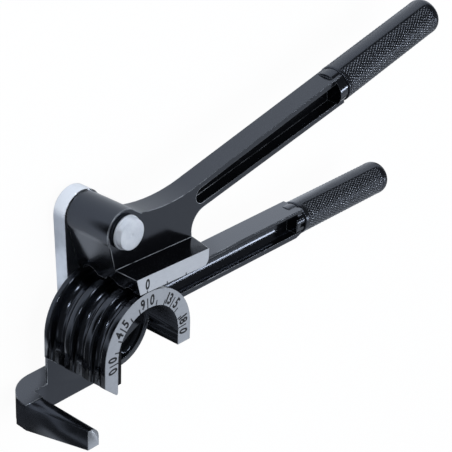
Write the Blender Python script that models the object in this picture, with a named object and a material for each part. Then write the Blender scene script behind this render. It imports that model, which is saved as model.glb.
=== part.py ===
"""Tube bending pliers for three tube sizes, lying on their back.

The former's axis is the world Z axis, with the scale's face up. The lower handle runs along +X, the hook is on the
-X side, and the link goes up along +Y to the lever's pin. The origin is on the former's axis, at the back end of the
pin that holds the link. All lengths are in metres, and depths are measured down from the face of the scale.
"""

import math

import bmesh
import bpy
from mathutils import Matrix, Vector

# Clearance between pieces that touch, how far cutters and joined shapes run past a face, and the small step that
# keeps two faces of joined shapes out of one plane
GAP = 0.0003
OVERRUN = 0.001
STEP = 0.0002

# Tubes that the grooves hold, front to back
TUBE_DIAMETERS = (0.006, 0.008, 0.010)

# Former: a half barrel with two straight legs
FLANGE_RADIUS = 0.030
FACE_WIDTH = 0.0088
FRONT_LAND = 0.0029
INNER_LAND = 0.0027
REAR_LAND = 0.0021
LIP_RADIUS = 0.00135
LEFT_LEG_LENGTH = 0.012
LEFT_LEG_SLOPE = math.radians(41)
RIGHT_LEG_LENGTH = 0.0089
LEG_CORNER = 0.002
LEG_PAD_THICKNESS = 0.0067
LEG_PAD_DEPTH = 0.0045
LEG_PAD_TOP = 0.0045

# Web across the bore, with a raised rim, a hub and a rib that runs out into the lower handle
WEB_FRONT = 0.0205
WEB_RECESS = 0.004
WEB_THICKNESS = 0.0065
WEB_BACK = 0.035
WEB_RIM_WIDTH = 0.003
HUB_RADIUS = 0.0088

# Hook: a bar behind the former with an arm that comes forward
FOOT_FRONT = 0.041
FOOT_TOP = 0.0273
FOOT_BOTTOM = 0.0422
FOOT_RIGHT = 0.012
HOOK_BACK = 0.0543
HOOK_CORNER = 0.020
ARM_ROOT_CLEARANCE = 0.0089
ARM_THICKNESS = 0.0115
TIP_CLEARANCE = 0.0043
TIP_THICKNESS = 0.0073
TIP_TOP = 0.0307
TIP_BOTTOM = 0.0416
TIP_ROUNDING = 0.0055
ROOT_ROUNDING = 0.002
BRACKET_FRONT = 0.034
BRACKET_TOP_SHARE = 1 / 3
BRACKET_LOW_LEFT = 0.0152
WALL_TOP_SHARE = 1 / 2

# Lower handle beam
LOWER_FRONT = 0.0203
LOWER_THICKNESS = 0.0137
LOWER_AXIS = 0.0081
LOWER_HALF_HEIGHT = 0.0083
LOWER_BEAM_END = 0.143
LOWER_END_WALL = 0.0042
LOWER_END_RISE = 0.0016
LOWER_TOP_FLANGE = 0.0018
LOWER_BOTTOM_FLANGE = 0.0028
LOWER_POCKET_DEPTH = 0.0072
LOWER_BACK_POCKET = 0.0035
LOWER_COLLAR = 0.005
LOWER_GRIP_LENGTH = 0.073
LOWER_GRIP_WALL = 0.013
LOWER_GRIP_RADIUS = 0.00964

# Link bar between the former's axis and the lever's pin
PIVOT_RISE = 0.0289
LINK_ANGLE = math.radians(92.8)
LINK_THICKNESS = 0.0080
LINK_RADIUS = 0.0122

# Lever: boss, head, shoe, neck and upper handle beam
BOSS_RADIUS = 0.0114
BOSS_START = math.radians(50)
BOSS_END = math.radians(176)
LEVER_FRONT = 0.0145
LEVER_THICKNESS = 0.0125
HEAD_RIGHT = 0.0084
HEAD_SIDE_RISE = 0.027
SHOE_TILT = math.radians(-2)
SHOE_HEIGHT = 0.009
SHOE_HEEL = 0.0074
SHOE_HEEL_TOP = 0.0102
SHOE_TOE = 0.0413
SHOE_TOE_MIDDLE = 0.0446
SHOE_TOE_RADIUS = 0.0035
UPPER_ANGLE = math.radians(13.2)
UPPER_AXIS_RISE = 0.0145
UPPER_TOP = 0.0081
UPPER_NECK_BOTTOM = 0.0066
UPPER_END_BOTTOM = 0.0096
UPPER_NECK = 0.069
UPPER_BEAM_END = 0.179
UPPER_POCKET_START = 0.060
UPPER_END_WALL = 0.006
UPPER_TOP_FLANGE = 0.003
UPPER_BOTTOM_FLANGE = 0.0027
UPPER_POCKET_DEPTH = 0.0065
UPPER_BACK_POCKET = 0.0029
UPPER_COLLAR = 0.0082
UPPER_GRIP_LENGTH = 0.077
UPPER_GRIP_WALL = 0.017
UPPER_GRIP_RADIUS = 0.01057
SADDLE_RADIUS = 0.090
SADDLE_LOW_X = 0.027
SADDLE_RISE = 0.0327
NECK_X = 0.0452
NECK_RADIUS = 0.011

# Grips, with their spigots and cross pins
SPIGOT_RADIUS = 0.006
GRIP_EDGE = 0.0008
GRIP_DOME = 0.0045
CROSS_PIN_RADIUS = 0.0015
CROSS_PIN_SHARE = 0.5
COLLAR_ROOT = 0.006
CROWN_SHARE = 0.67

# Pivots
PIN_RADIUS = 0.005
BUSH_WALL = 0.0015
LEVER_HEAD_RADIUS = 0.0081
LEVER_HEAD_THICKNESS = 0.0051
HEAD_CHAMFER = 0.0003
HEAD_NECK_RADIUS = 0.0078
HEAD_NECK_LENGTH = 0.0009
HEAD_FLANGE_RADIUS = 0.0089
HEAD_FLANGE_THICKNESS = 0.0012
WASHER_RADIUS = 0.0088
WASHER_THICKNESS = 0.001
RING_RADIUS = 0.0078
RING_THICKNESS = 0.001
RING_GROOVE = 0.0009
RING_OPENING = 0.005
PIN_TIP = 0.0018
FORMER_HEAD_RADIUS = 0.0090
FORMER_WASHER_THICKNESS = 0.0007

# Facets: steps round a full turn, and along an arc of a profile
TURN_STEPS = 48
SWEEP_STEPS = 30
GROOVE_STEPS = 8
LIP_STEPS = 2
CORNER_STEPS = 4
BEND_STEPS = 8
ROUND_STEPS = 12

# Edges sharper than this stay sharp in the smooth shading
SHARP_ANGLE = math.radians(30)

# Sizes that follow from those above
BORE_RADIUS = FLANGE_RADIUS - FACE_WIDTH
ARM_ROOT = FLANGE_RADIUS + ARM_ROOT_CLEARANCE
HOOK_LEFT = ARM_ROOT + ARM_THICKNESS
TIP_RIGHT = FLANGE_RADIUS + TIP_CLEARANCE
TIP_LEFT = TIP_RIGHT + TIP_THICKNESS
PIVOT_DISTANCE = FLANGE_RADIUS + PIVOT_RISE
HEAD_SIDE = FLANGE_RADIUS + HEAD_SIDE_RISE
UPPER_AXIS = FLANGE_RADIUS + UPPER_AXIS_RISE
SADDLE_LOW_Y = FLANGE_RADIUS + SADDLE_RISE
GROOVE_WIDTHS = tuple(tube + 2 * LIP_RADIUS for tube in TUBE_DIAMETERS)
FORMER_DEPTH = FRONT_LAND + sum(GROOVE_WIDTHS) + INNER_LAND * (len(TUBE_DIAMETERS) - 1) + REAR_LAND
GROOVE_AXIS_RADIUS = FLANGE_RADIUS - LIP_RADIUS
LINK_FRONT = FORMER_DEPTH + GAP
LINK_BACK = LINK_FRONT + LINK_THICKNESS
WASHER_FRONT = LINK_BACK + GAP
RING_FRONT = WASHER_FRONT + WASHER_THICKNESS + GAP
FACE_HEIGHT = RING_FRONT + RING_THICKNESS + GAP + PIN_TIP
PIVOT = Vector((PIVOT_DISTANCE * math.cos(LINK_ANGLE), PIVOT_DISTANCE * math.sin(LINK_ANGLE)))
BUSH_BORE = PIN_RADIUS + GAP
BUSH_RADIUS = BUSH_BORE + BUSH_WALL
HOUSING_BORE = BUSH_RADIUS + GAP
LOWER_BACK = LOWER_FRONT + LOWER_THICKNESS
LOWER_MIDDLE = LOWER_FRONT + LOWER_THICKNESS / 2
LOWER_POCKET_END = LOWER_BEAM_END - LOWER_END_WALL
LOWER_GRIP_START = LOWER_BEAM_END + LOWER_COLLAR
LEVER_BACK = LEVER_FRONT + LEVER_THICKNESS
LEVER_MIDDLE = LEVER_FRONT + LEVER_THICKNESS / 2
UPPER_POCKET_END = UPPER_BEAM_END - UPPER_END_WALL
UPPER_GRIP_START = UPPER_BEAM_END + UPPER_COLLAR
LOWER_SPIGOT = LOWER_GRIP_LENGTH - LOWER_GRIP_WALL
UPPER_SPIGOT = UPPER_GRIP_LENGTH - UPPER_GRIP_WALL
LOWER_PIN_PLACE = LOWER_GRIP_START + LOWER_SPIGOT * CROSS_PIN_SHARE
UPPER_PIN_PLACE = UPPER_GRIP_START + UPPER_SPIGOT * CROSS_PIN_SHARE


def height(depth):
    """World height of a depth below the face of the scale."""
    return FACE_HEIGHT - depth


def groove_centres():
    """Depth of the middle of each groove, front to back."""
    depths = []
    depth = FRONT_LAND
    for width in GROOVE_WIDTHS:
        depths.append(depth + width / 2)
        depth += width + INNER_LAND
    return depths


def arc(centre, radius, start, end, steps):
    """Points of a circle's arc from one angle to another, both ends included."""
    turn = (end - start) / steps
    return [
        (centre[0] + radius * math.cos(start + turn * i), centre[1] + radius * math.sin(start + turn * i))
        for i in range(steps + 1)
    ]


def make_object(name, mesh, material=None):
    """A new object in the scene; one without a material is a cutter or a helper, left out of the model."""
    obj = bpy.data.objects.new(name, mesh)
    bpy.context.scene.collection.objects.link(obj)
    if material is None:
        obj.hide_render = True
        obj.display_type = "WIRE"
    else:
        mesh.materials.append(material)
    return obj


def mesh_from(name, vertices, faces):
    """A closed mesh with its faces turned outwards."""
    mesh = bpy.data.meshes.new(name)
    mesh.from_pydata(vertices, [], faces)
    work = bmesh.new()
    work.from_mesh(mesh)
    bmesh.ops.recalc_face_normals(work, faces=work.faces)
    work.to_mesh(mesh)
    work.free()
    return mesh


def skin(name, rows, material=None):
    """A solid through rows of points, each row one closed outline with as many points as the last."""
    count = len(rows[0])
    vertices = [point for row in rows for point in row]
    faces = [list(range(count)), list(range(len(vertices) - 1, len(vertices) - count - 1, -1))]
    for base in range(0, len(vertices) - count, count):
        faces += [(base + i, base + (i + 1) % count, base + (i + 1) % count + count, base + i + count)
                  for i in range(count)]
    return make_object(name, mesh_from(name, vertices, faces), material)


def prism(name, outline, front, back, material=None):
    """An outline in X and Y, made solid between two depths."""
    return skin(name, [[(x, y, height(depth)) for x, y in outline] for depth in (front, back)], material)


def turned(name, profile, material=None, place=None):
    """A closed profile of (radius, height) points, turned about Z and then put in place by a matrix.

    A point of radius zero becomes one vertex on the axis.
    """
    vertices = []
    rings = []
    for radius, level in profile:
        if radius == 0:
            rings.append([len(vertices)] * TURN_STEPS)
            vertices.append((0, 0, level))
            continue
        rings.append(list(range(len(vertices), len(vertices) + TURN_STEPS)))
        for step in range(TURN_STEPS):
            angle = math.tau * step / TURN_STEPS
            vertices.append((radius * math.cos(angle), radius * math.sin(angle), level))
    faces = []
    for low, high in zip(rings, rings[1:] + rings[:1]):
        if low[0] == low[1] and high[0] == high[1]:
            continue
        for step in range(TURN_STEPS):
            after = (step + 1) % TURN_STEPS
            corners = [low[step], low[after], high[after], high[step]]
            faces.append(list(dict.fromkeys(corners)))
    mesh = mesh_from(name, vertices, faces)
    if place is not None:
        mesh.transform(place)
    return make_object(name, mesh, material)


def rod(name, radius, start, end, material=None, place=None):
    """A plain cylinder along Z between two heights."""
    profile = [(0, start), (radius, start), (radius, end), (0, end)]
    return turned(name, profile, material, place)


def tube(name, bore, radius, start, end, material=None, place=None):
    """A plain ring along Z between two heights."""
    profile = [(bore, start), (radius, start), (radius, end), (bore, end)]
    return turned(name, profile, material, place)


def combine(obj, tool, operation):
    """Adds a Boolean of a helper object to an object; Blender's exact solver is its default."""
    step = obj.modifiers.new(f"{operation} {tool.name}", "BOOLEAN")
    step.operation = operation
    step.solver = "EXACT"
    step.object = tool


def cut(obj, *tools):
    for tool in tools:
        combine(obj, tool, "DIFFERENCE")


def join(obj, *tools):
    for tool in tools:
        combine(obj, tool, "UNION")


def paint(name, colour, roughness, metallic):
    """A Principled material in one colour."""
    material = bpy.data.materials.new(name)
    material.use_nodes = True
    shader = material.node_tree.nodes["Principled BSDF"]
    shader.inputs["Base Color"].default_value = (*colour, 1)
    shader.inputs["Roughness"].default_value = roughness
    shader.inputs["Metallic"].default_value = metallic
    return material


def smooth(obj):
    """Shades round faces smooth and keeps the sharp edges."""
    obj.data.shade_smooth()
    obj.data.set_sharp_from_angle(angle=SHARP_ANGLE)


def barrel_section():
    """Cross-section of the former's wall as (radius, depth), from the bore round the grooved outside."""
    points = [(BORE_RADIUS, 0), (FLANGE_RADIUS, 0)]
    for middle, diameter in zip(groove_centres(), TUBE_DIAMETERS):
        half = diameter / 2
        quarter = math.pi / 2
        lip = half + LIP_RADIUS
        before = arc((GROOVE_AXIS_RADIUS, middle - lip), LIP_RADIUS, 0, quarter, LIP_STEPS)
        bottom = arc((GROOVE_AXIS_RADIUS, middle), half, 3 * quarter, quarter, GROOVE_STEPS)
        after = arc((GROOVE_AXIS_RADIUS, middle + lip), LIP_RADIUS, -quarter, 0, LIP_STEPS)
        points += before + bottom[1:-1] + after
    return points + [(FLANGE_RADIUS, FORMER_DEPTH), (BORE_RADIUS, FORMER_DEPTH)]


def barrel(name, material):
    """The section swept down the left leg, over the top and down the right leg."""
    section = barrel_section()
    slope = math.tan(LEFT_LEG_SLOPE)
    rows = [[(-r, -LEFT_LEG_LENGTH - (FLANGE_RADIUS - r) * slope, height(d)) for r, d in section]]
    for step in range(SWEEP_STEPS + 1):
        angle = math.pi * (1 - step / SWEEP_STEPS)
        rows.append([(r * math.cos(angle), r * math.sin(angle), height(d)) for r, d in section])
    rows.append([(r, -RIGHT_LEG_LENGTH, height(d)) for r, d in section])
    obj = skin(name, rows, material)
    round_leg_corner(obj.data)
    return obj


def round_leg_corner(mesh):
    """Rounds the inner bottom corner of the left leg, the lowest edge of the barrel."""
    work = bmesh.new()
    work.from_mesh(mesh)
    lowest = min(vertex.co.y for vertex in work.verts)
    corner = [edge for edge in work.edges if all(v.co.y < lowest + GAP for v in edge.verts)]
    bmesh.ops.bevel(work, geom=corner, offset=LEG_CORNER, segments=CORNER_STEPS, affect="EDGES", profile=0.5)
    work.to_mesh(mesh)
    work.free()


def web():
    """Disc with a raised rim and hub; it runs a little into the barrel's wall."""
    outer = BORE_RADIUS + STEP
    inner = BORE_RADIUS - WEB_RIM_WIDTH
    floor = WEB_FRONT + WEB_RECESS
    back = floor + WEB_THICKNESS
    profile = [
        (0, height(FORMER_DEPTH)),
        (HUB_RADIUS, height(FORMER_DEPTH)),
        (HUB_RADIUS, height(back)),
        (inner, height(back)),
        (inner, height(WEB_BACK)),
        (outer, height(WEB_BACK)),
        (outer, height(WEB_FRONT)),
        (inner, height(WEB_FRONT)),
        (inner, height(floor)),
        (HUB_RADIUS, height(floor)),
        (HUB_RADIUS, height(WEB_FRONT)),
        (0, height(WEB_FRONT)),
    ]
    return turned("web", profile)


def rib():
    """Rib from the hub to the handle, as wide as the hub at one end and as the beam at the other."""
    far = FLANGE_RADIUS
    top = LOWER_AXIS + LOWER_HALF_HEIGHT - OVERRUN
    bottom = LOWER_AXIS - LOWER_HALF_HEIGHT + OVERRUN
    lean = math.atan2(bottom + HUB_RADIUS, far)
    low = (HUB_RADIUS * math.sin(lean), -HUB_RADIUS * math.cos(lean))
    lean = math.atan2(top - HUB_RADIUS, far)
    high = (-HUB_RADIUS * math.sin(lean), HUB_RADIUS * math.cos(lean))
    outline = [low, (BORE_RADIUS + OVERRUN, bottom), (BORE_RADIUS + OVERRUN, top), high]
    return prism("rib", outline, WEB_FRONT + STEP, LOWER_BACK - STEP)


def leg_pad():
    """Thickening on the inside of the left leg, behind the scale's face, down to the leg's corner."""
    left = -BORE_RADIUS - OVERRUN
    right = left + OVERRUN + LEG_PAD_THICKNESS
    bottom = -LEFT_LEG_LENGTH - (FLANGE_RADIUS - BORE_RADIUS) * math.tan(LEFT_LEG_SLOPE) + LEG_CORNER
    outline = [(left, bottom), (right, bottom), (right, LEG_PAD_TOP), (left, LEG_PAD_TOP)]
    return prism("leg pad", outline, LEG_PAD_DEPTH, WEB_FRONT + OVERRUN)


def hook_wall():
    """Thin wall that continues the rear land down to the hook's bar."""
    left = -ARM_ROOT - OVERRUN
    right = FOOT_RIGHT - STEP
    bottom = -FOOT_BOTTOM + STEP
    outline = [
        (left, bottom),
        (right, bottom),
        (right, -HUB_RADIUS * WALL_TOP_SHARE),
        (-BORE_RADIUS - OVERRUN, -HUB_RADIUS * WALL_TOP_SHARE),
        (-FLANGE_RADIUS + STEP, -LEFT_LEG_LENGTH + OVERRUN),
        (-FLANGE_RADIUS + STEP, -FOOT_TOP - STEP),
        (left, -FOOT_TOP - STEP),
    ]
    return prism("hook wall", outline, FOOT_FRONT, FORMER_DEPTH - STEP)


def hook_bracket():
    """Thick rib behind the web that carries the hook's bar; the left leg hides it from the front."""
    low = -FOOT_TOP - (FOOT_BOTTOM - FOOT_TOP) / 2
    left = -BORE_RADIUS - 2 * OVERRUN
    right = FOOT_RIGHT - 2 * STEP
    top = HUB_RADIUS * BRACKET_TOP_SHARE
    outline = [(left, -BRACKET_LOW_LEFT), (0, low), (right, low), (right, top), (left, top)]
    return prism("hook bracket", outline, BRACKET_FRONT, FORMER_DEPTH - 2 * STEP)


def hook():
    """Bar behind the former, seen from below as an outline of (x, depth), with its big rounded corner."""
    foot = FOOT_FRONT + STEP
    corner = (-HOOK_LEFT + HOOK_CORNER, HOOK_BACK - HOOK_CORNER)
    outline = [(FOOT_RIGHT, foot), (FOOT_RIGHT, HOOK_BACK)]
    outline += arc(corner, HOOK_CORNER, math.pi / 2, math.pi, ROUND_STEPS)
    outline += [(-ARM_ROOT, corner[1]), (-ARM_ROOT, foot)]
    top = [(x, -FOOT_TOP, height(depth)) for x, depth in outline]
    bottom = [(x, -FOOT_BOTTOM, height(depth)) for x, depth in outline]
    return skin("hook", [top, bottom])


def arm_section(left, right, top, bottom, rounding, depth):
    """Section of the hook's arm across X and Y, with its inner top edge rounded."""
    corner = (right - rounding, top - rounding)
    points = [(left, bottom), (right, bottom)]
    points += arc(corner, rounding, 0, math.pi / 2, CORNER_STEPS)
    points += [(left, top)]
    return [(x, y, height(depth)) for x, y in points]


def hook_arm():
    """Arm that comes forward from the bar and tapers to its tip."""
    root_depth = HOOK_BACK - HOOK_CORNER
    share = root_depth / FOOT_FRONT
    tip = arm_section(-TIP_LEFT, -TIP_RIGHT, -TIP_TOP, -TIP_BOTTOM, TIP_ROUNDING, 0)
    inner = -TIP_RIGHT - (ARM_ROOT - TIP_RIGHT) * share
    top = -TIP_TOP - (FOOT_TOP - TIP_TOP) * share
    bottom = -TIP_BOTTOM - (FOOT_BOTTOM - TIP_BOTTOM) * share
    rounding = TIP_ROUNDING + (ROOT_ROUNDING - TIP_ROUNDING) * share
    middle = arm_section(-HOOK_LEFT, inner, top, bottom, rounding, root_depth)
    root = arm_section(-HOOK_LEFT + 2 * STEP, -ARM_ROOT - STEP, -FOOT_TOP - STEP, -FOOT_BOTTOM + STEP,
                       ROOT_ROUNDING, FOOT_FRONT + OVERRUN)
    return skin("hook arm", [tip, middle, root])


def box(name, low, high):
    """A box between two corners, each (x, y, depth)."""
    outline = [(low[0], low[1]), (high[0], low[1]), (high[0], high[1]), (low[0], high[1])]
    return prism(name, outline, low[2], high[2])


def along_x(start, axis_y, depth):
    """Puts a piece turned about Z with its axis along X, its start at a given X."""
    return Matrix.Translation((start, axis_y, height(depth))) @ Matrix.Rotation(math.pi / 2, 4, "Y")


def along_handle(start, axis_h, depth):
    """The same, in the upper handle's own directions."""
    turn = Matrix.Rotation(UPPER_ANGLE, 4, "Z")
    return turn @ along_x(start, UPPER_AXIS + axis_h, depth)


def spigot(name, collar_length, length, grip_radius, place):
    """Round collar at the end of a beam, and the spigot that the grip goes over."""
    radius = grip_radius - GRIP_EDGE
    shoulder = collar_length - GAP
    profile = [
        (0, -COLLAR_ROOT),
        (radius, -COLLAR_ROOT),
        (radius, shoulder),
        (SPIGOT_RADIUS, shoulder),
        (SPIGOT_RADIUS, shoulder + length),
        (0, shoulder + length),
    ]
    return turned(name, profile, place=place)


def lower_beam():
    """Lower handle's beam, its underside rising a little behind the grip's collar."""
    top = LOWER_AXIS + LOWER_HALF_HEIGHT
    bottom = LOWER_AXIS - LOWER_HALF_HEIGHT
    start = BORE_RADIUS + OVERRUN
    outline = [(start, bottom), (LOWER_POCKET_END, bottom), (LOWER_BEAM_END, bottom + LOWER_END_RISE)]
    outline += [(LOWER_BEAM_END, top), (start, top)]
    return prism("lower beam", outline, LOWER_FRONT, LOWER_BACK)


def make_former(material):
    """The casting: former, web, hook and lower beam in one piece."""
    obj = barrel("former_casting", material)
    place = along_x(LOWER_BEAM_END, LOWER_AXIS, LOWER_MIDDLE)
    end = spigot("lower spigot", LOWER_COLLAR, LOWER_SPIGOT, LOWER_GRIP_RADIUS, place)
    join(obj, web(), rib(), leg_pad(), hook_bracket(), hook_wall(), hook(), hook_arm(), lower_beam(), end)
    low = LOWER_AXIS - LOWER_HALF_HEIGHT + LOWER_BOTTOM_FLANGE
    high = LOWER_AXIS + LOWER_HALF_HEIGHT - LOWER_TOP_FLANGE
    start = FLANGE_RADIUS + OVERRUN
    floor = LOWER_FRONT + LOWER_POCKET_DEPTH
    cut(obj, box("front pocket", (start, low, LOWER_FRONT - OVERRUN), (LOWER_POCKET_END, high, floor)))
    floor = LOWER_BACK - LOWER_BACK_POCKET
    cut(obj, box("back pocket", (start, low, floor), (LOWER_POCKET_END, high, LOWER_BACK + OVERRUN)))
    pin_hole = rod("former pin hole", PIN_RADIUS + GAP, height(FORMER_DEPTH + OVERRUN),
                   height(WEB_FRONT + WEB_RECESS))
    hole = rod("lower cross hole", CROSS_PIN_RADIUS + GAP, height(LOWER_MIDDLE + SPIGOT_RADIUS + OVERRUN),
               height(LOWER_MIDDLE),
               place=Matrix.Translation((LOWER_PIN_PLACE, LOWER_AXIS, 0)))
    cut(obj, pin_hole, hole)
    smooth(obj)
    return obj


def shoe_point(along, out):
    """A point in the shoe's own directions: along it, and out from the former's axis."""
    cosine = math.cos(SHOE_TILT)
    sine = math.sin(SHOE_TILT)
    return (along * cosine - out * sine, along * sine + out * cosine)


def handle_point(along, up):
    """A point in the upper handle's directions: along it, and up from its axis."""
    cosine = math.cos(UPPER_ANGLE)
    sine = math.sin(UPPER_ANGLE)
    out = UPPER_AXIS + up
    return (along * cosine - out * sine, along * sine + out * cosine)


def lever_plate_outline():
    """Outline of the lever's plate, from the shoe's toe along the beam and back over the boss."""
    shoe_top = FLANGE_RADIUS + GAP + SHOE_HEIGHT
    neck_low = shoe_point(SHOE_TOE_MIDDLE - GAP, shoe_top - OVERRUN)
    neck_high = handle_point(UPPER_NECK, -UPPER_NECK_BOTTOM)
    beam_low = handle_point(UPPER_BEAM_END, -UPPER_END_BOTTOM)
    fall = math.atan2(beam_low[1] - neck_high[1], beam_low[0] - neck_high[0])
    centre_x = NECK_X + NECK_RADIUS
    reach = (neck_high[0] - centre_x) * math.tan(fall)
    centre = (centre_x, neck_high[1] - reach - NECK_RADIUS / math.cos(fall))
    outline = [neck_low]
    outline += arc(centre, NECK_RADIUS, math.pi, math.pi / 2 + fall, BEND_STEPS)
    outline += [beam_low, handle_point(UPPER_BEAM_END, UPPER_TOP)]
    saddle = (SADDLE_LOW_X, SADDLE_LOW_Y + SADDLE_RADIUS)
    meet = math.asin((SADDLE_LOW_X - HEAD_RIGHT) / SADDLE_RADIUS)
    down = -math.pi / 2
    outline += arc(saddle, SADDLE_RADIUS, down + UPPER_ANGLE, down - meet, BEND_STEPS)
    outline += arc(PIVOT, BOSS_RADIUS - 2 * STEP, BOSS_START, BOSS_END, ROUND_STEPS)
    outline += [shoe_point(-SHOE_HEEL_TOP, shoe_top - OVERRUN)]
    return outline


def shoe_block():
    """The shoe: its toe leans out from the front face to the lever's plate, and back in behind it."""
    low = FLANGE_RADIUS + GAP
    top = low + SHOE_HEIGHT
    rows = []
    for depth, toe in ((0, SHOE_TOE), (LEVER_FRONT, SHOE_TOE_MIDDLE), (LEVER_BACK, SHOE_TOE_MIDDLE),
                       (FORMER_DEPTH, SHOE_TOE)):
        points = [(-SHOE_HEEL, low)]
        centre = (toe - SHOE_TOE_RADIUS, low + SHOE_TOE_RADIUS)
        points += arc(centre, SHOE_TOE_RADIUS, -math.pi / 2, 0, CORNER_STEPS)
        points += [(toe, top), (-SHOE_HEEL_TOP, top)]
        rows.append([(*shoe_point(*point), height(depth)) for point in points])
    return skin("shoe block", rows)


def head_block():
    """Block between the boss and the shoe, as deep as the former."""
    low = FLANGE_RADIUS + GAP + SHOE_HEIGHT - OVERRUN
    outline = [
        shoe_point(-SHOE_HEEL_TOP, low),
        (HEAD_RIGHT, low),
        (HEAD_RIGHT, SADDLE_LOW_Y),
        (PIVOT.x, SADDLE_LOW_Y),
        (PIVOT.x - BOSS_RADIUS + 2 * STEP, HEAD_SIDE),
    ]
    return prism("head block", outline, LEVER_FRONT + 2 * STEP, FORMER_DEPTH - STEP)


def make_lever(material):
    """Plate with the upper beam, its boss and head, and the shoe with its straight grooves."""
    obj = prism("shoe_lever", lever_plate_outline(), LEVER_FRONT, LEVER_BACK, material)
    at_pivot = Matrix.Translation((PIVOT.x, PIVOT.y, 0))
    boss = rod("boss", BOSS_RADIUS, height(FORMER_DEPTH), height(LEVER_FRONT + STEP), place=at_pivot)
    place = along_handle(UPPER_BEAM_END, 0, LEVER_MIDDLE)
    end = spigot("upper spigot", UPPER_COLLAR, UPPER_SPIGOT, UPPER_GRIP_RADIUS, place)
    join(obj, shoe_block(), boss, head_block(), end)
    cut(obj, *shoe_grooves())
    cut(obj, upper_pocket("upper front pocket", LEVER_FRONT - OVERRUN, LEVER_FRONT + UPPER_POCKET_DEPTH))
    cut(obj, upper_pocket("upper back pocket", LEVER_BACK - UPPER_BACK_POCKET, LEVER_BACK + OVERRUN))
    low = height(FORMER_DEPTH + OVERRUN)
    bore = rod("boss bore", HOUSING_BORE, low, height(LEVER_FRONT - OVERRUN), place=at_pivot)
    hole = rod("upper cross hole", CROSS_PIN_RADIUS + GAP, height(LEVER_MIDDLE + SPIGOT_RADIUS + OVERRUN),
               height(LEVER_MIDDLE),
               place=Matrix.Translation((*handle_point(UPPER_PIN_PLACE, 0), 0)))
    cut(obj, hole, bore)
    smooth(obj)
    return obj


def shoe_grooves():
    """Straight cutters whose round undersides continue the former's grooves at the top of the bend."""
    tools = []
    for number, (depth, diameter) in enumerate(zip(groove_centres(), TUBE_DIAMETERS)):
        start = -SHOE_HEEL_TOP - OVERRUN
        length = SHOE_TOE_MIDDLE + SHOE_HEEL_TOP + 2 * OVERRUN
        turn = Matrix.Rotation(SHOE_TILT, 4, "Z")
        place = turn @ along_x(start, GROOVE_AXIS_RADIUS, depth)
        tools.append(rod(f"shoe groove {number}", diameter / 2 + GAP, 0, length, place=place))
    return tools


def upper_pocket(name, front, back):
    """Cutter for a pocket along the upper beam, round at the neck and square at the grip."""
    slope = (UPPER_END_BOTTOM - UPPER_NECK_BOTTOM) / (UPPER_BEAM_END - UPPER_NECK)
    high = UPPER_TOP - UPPER_TOP_FLANGE
    end_low = -UPPER_NECK_BOTTOM - slope * (UPPER_POCKET_END - UPPER_NECK) + UPPER_BOTTOM_FLANGE
    start_low = -UPPER_NECK_BOTTOM - slope * (UPPER_POCKET_START - UPPER_NECK) + UPPER_BOTTOM_FLANGE
    half = (high - start_low) / 2
    centre = (UPPER_POCKET_START + half, start_low + half)
    outline = [(UPPER_POCKET_END, high)]
    outline += arc(centre, half, math.pi / 2, 3 * math.pi / 2, BEND_STEPS)
    outline += [(UPPER_POCKET_END, end_low)]
    return prism(name, [handle_point(*point) for point in outline], front, back)


def make_link(material):
    """Flat bar with round ends, bored for the pin at one end and for a bush at the other."""
    quarter = math.pi / 2
    outline = arc((0, 0), LINK_RADIUS, LINK_ANGLE + quarter, LINK_ANGLE + 3 * quarter, ROUND_STEPS)
    outline += arc(PIVOT, LINK_RADIUS, LINK_ANGLE - quarter, LINK_ANGLE + quarter, ROUND_STEPS)
    obj = prism("link_bar", outline, LINK_FRONT, LINK_BACK, material)
    low = height(LINK_BACK + OVERRUN)
    high = height(LINK_FRONT - OVERRUN)
    upper = rod("link pin hole", PIN_RADIUS + GAP, low, high, place=Matrix.Translation((PIVOT.x, PIVOT.y, 0)))
    lower = rod("link bush hole", HOUSING_BORE, low, high)
    cut(obj, upper, lower)
    smooth(obj)
    return obj


def lever_pin_profile():
    """Headed pin: a flange under its head, and a groove for the retaining ring near its back end."""
    back = height(RING_FRONT + RING_THICKNESS + GAP + PIN_TIP)
    groove_low = height(RING_FRONT + RING_THICKNESS + GAP)
    groove_high = height(RING_FRONT - GAP)
    neck = PIN_RADIUS - RING_GROOVE
    under = height(LEVER_FRONT - GAP)
    flange = under + HEAD_NECK_LENGTH
    face = flange + HEAD_FLANGE_THICKNESS
    top = under + LEVER_HEAD_THICKNESS
    return [
        (0, back),
        (PIN_RADIUS - GAP, back),
        (PIN_RADIUS, back + GAP),
        (PIN_RADIUS, groove_low),
        (neck, groove_low),
        (neck, groove_high),
        (PIN_RADIUS, groove_high),
        (PIN_RADIUS, under),
        (HEAD_NECK_RADIUS, under),
        (HEAD_NECK_RADIUS, flange),
        (HEAD_FLANGE_RADIUS, flange),
        (HEAD_FLANGE_RADIUS, face),
        (LEVER_HEAD_RADIUS, face),
        (LEVER_HEAD_RADIUS, top - HEAD_CHAMFER),
        (LEVER_HEAD_RADIUS - HEAD_CHAMFER, top),
        (0, top),
    ]


def retaining_ring(name, material):
    """Ring open on one side, seated in the pin's groove."""
    bore = PIN_RADIUS - RING_GROOVE + GAP
    half = math.asin(RING_OPENING / 2 / bore)
    outer = arc(PIVOT, RING_RADIUS, half, math.tau - half, TURN_STEPS // 2)
    inner = arc(PIVOT, bore, math.tau - half, half, TURN_STEPS // 2)
    return prism(name, outer + inner, RING_FRONT, RING_FRONT + RING_THICKNESS, material)


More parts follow.
